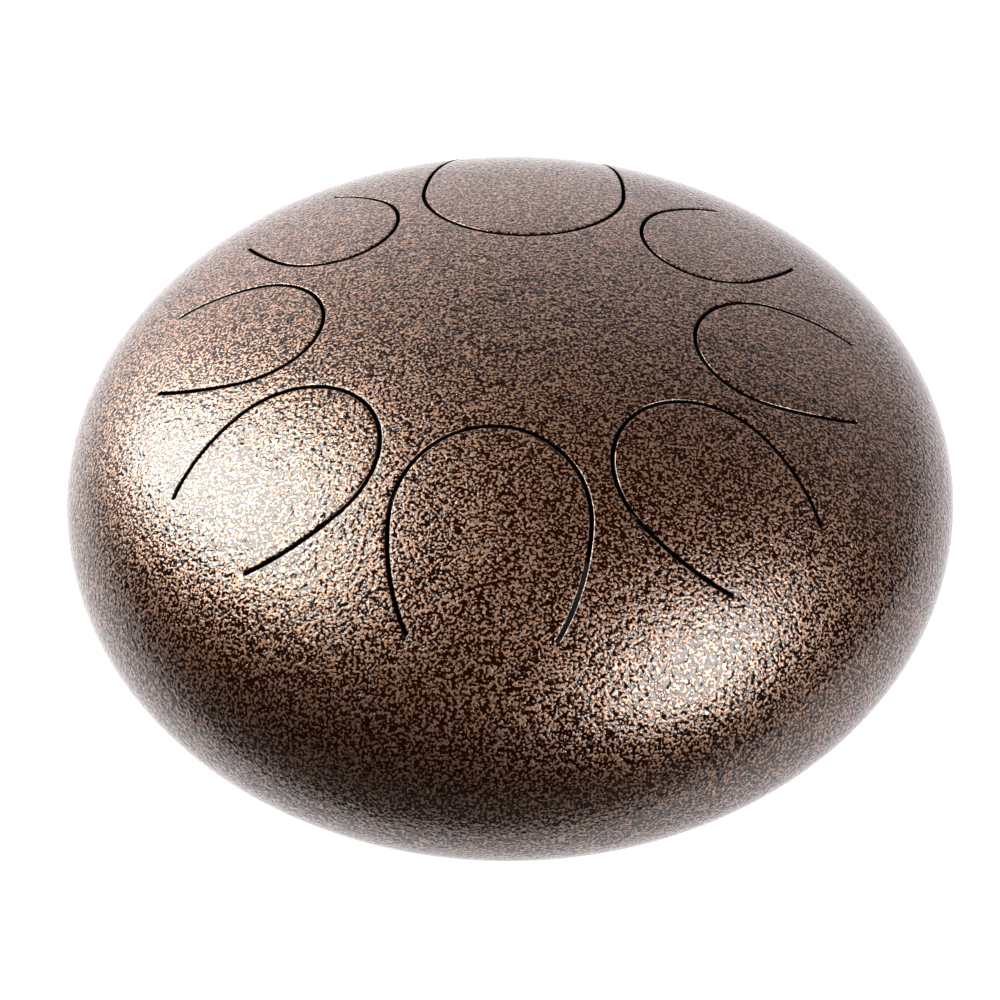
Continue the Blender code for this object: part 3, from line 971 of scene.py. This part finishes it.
def add_camera():
    """The camera's own axes are worked out in a frame that is then turned about the drum's axis."""
    aim = Vector((VIEW_ASIDE, 0, VIEW_AIM))
    back = Vector((0, -math.cos(VIEW_ELEVATION), math.sin(VIEW_ELEVATION)))
    right = Vector((1, 0, 0))
    up = back.cross(right)
    tilt_right = math.cos(VIEW_ROLL) * right + math.sin(VIEW_ROLL) * up
    tilt_up = -math.sin(VIEW_ROLL) * right + math.cos(VIEW_ROLL) * up
    view = Matrix((tilt_right, tilt_up, back)).transposed().to_4x4()
    view.translation = aim + VIEW_DISTANCE * back
    data = bpy.data.cameras.new("camera")
    data.lens = LENS
    data.sensor_width = SENSOR
    camera = bpy.data.objects.new("camera", data)
    camera.matrix_world = Matrix.Translation((0, 0, EQUATOR_Z)) @ Matrix.Rotation(VIEW_TURN, 4, "Z") @ view
    bpy.context.scene.collection.objects.link(camera)
    bpy.context.scene.camera = camera


def stand(azimuth, elevation, distance):
    """Frame of a light that faces the drum; azimuth 0 is in front and grows to the right."""
    azimuth = math.radians(azimuth)
    elevation = math.radians(elevation)
    away = Vector((math.sin(azimuth) * math.cos(elevation), -math.cos(azimuth) * math.cos(elevation),
                   math.sin(elevation)))
    facing = away.to_track_quat("Z", "Y").to_matrix().to_4x4()
    return Matrix.Translation(Vector((0, 0, EQUATOR_Z)) + distance * away) @ facing


def add_left_softbox():
    """A large glowing panel; it is a mesh because its outline isn't a rectangle."""
    name = "softbox_left"
    mesh = bpy.data.meshes.new(name)
    mesh.from_pydata([(u, v, 0) for u, v in LEFT_BOX_OUTLINE], [], [range(len(LEFT_BOX_OUTLINE))])
    material, n = new_material(name)
    n.tree.nodes.clear()
    glow = n.add("ShaderNodeEmission", {"Color": LEFT_BOX_COLOR, "Strength": LEFT_BOX_GLOW})
    n.add("ShaderNodeOutputMaterial", {"Surface": glow.outputs[0]})
    mesh.materials.append(material)
    panel = bpy.data.objects.new(name, mesh)
    panel.matrix_world = stand(*LEFT_BOX_PLACE)
    bpy.context.scene.collection.objects.link(panel)


def add_right_softbox():
    """A smaller area light, hung askew."""
    data = bpy.data.lights.new("softbox_right", "AREA")
    data.shape = "RECTANGLE"
    data.size, data.size_y = RIGHT_BOX_SIZE
    data.energy = RIGHT_BOX_POWER
    data.color = RIGHT_BOX_COLOR
    light = bpy.data.objects.new("softbox_right", data)
    hang = Matrix.Translation((*RIGHT_BOX_SHIFT, 0)) @ Matrix.Rotation(RIGHT_BOX_ROLL, 4, "Z")
    light.matrix_world = stand(*RIGHT_BOX_PLACE) @ hang
    bpy.context.scene.collection.objects.link(light)


def add_floor():
    bpy.ops.mesh.primitive_grid_add(x_subdivisions=FLOOR_CELLS, y_subdivisions=FLOOR_CELLS, size=FLOOR_SIZE)
    floor = bpy.context.object
    floor.name = "studio_floor"
    floor.data.materials.append(floor_white())


def add_surroundings():
    """A wall of light behind the drum in a dark room, which the camera itself sees as plain white."""
    world = bpy.data.worlds.new("studio")
    world.use_nodes = True
    n = Nodes(world.node_tree)
    direction = n.add("ShaderNodeTexCoord").outputs["Generated"]
    split = n.add("ShaderNodeSeparateXYZ", {0: direction})
    low = n.ramp(split.outputs[2], *WALL_HEIGHT, 1.0, 0.0)
    rear = n.ramp(split.outputs[1], *WALL_DEPTH)
    leftward = n.math("MULTIPLY_ADD", split.outputs[0], WALL_LEFTWARD, WALL_MIDDLE)
    wall = n.math("MULTIPLY", n.math("MULTIPLY", low, rear), n.math("MAXIMUM", leftward, WALL_LEAST))
    seen = n.add("ShaderNodeLightPath").outputs["Is Camera Ray"]
    background = world.node_tree.nodes["Background"]
    n.set(background.inputs["Color"], n.mix(seen, n.mix(low, SKY_TINT, WALL_TINT), WHITE))
    n.set(background.inputs["Strength"], n.math("MAXIMUM", n.math("ADD", wall, ROOM_GLOW), seen))
    bpy.context.scene.world = world


bpy.context.scene.view_settings.view_transform = "Standard"
add_camera()
add_floor()
add_surroundings()
add_left_softbox()
add_right_softbox()
surfaces = {"vein_coat": vein_coat(), "foot_rubber": foot_rubber(), "zinc_steel": zinc_steel()}
build_drum(surfaces)
build_feet(surfaces)
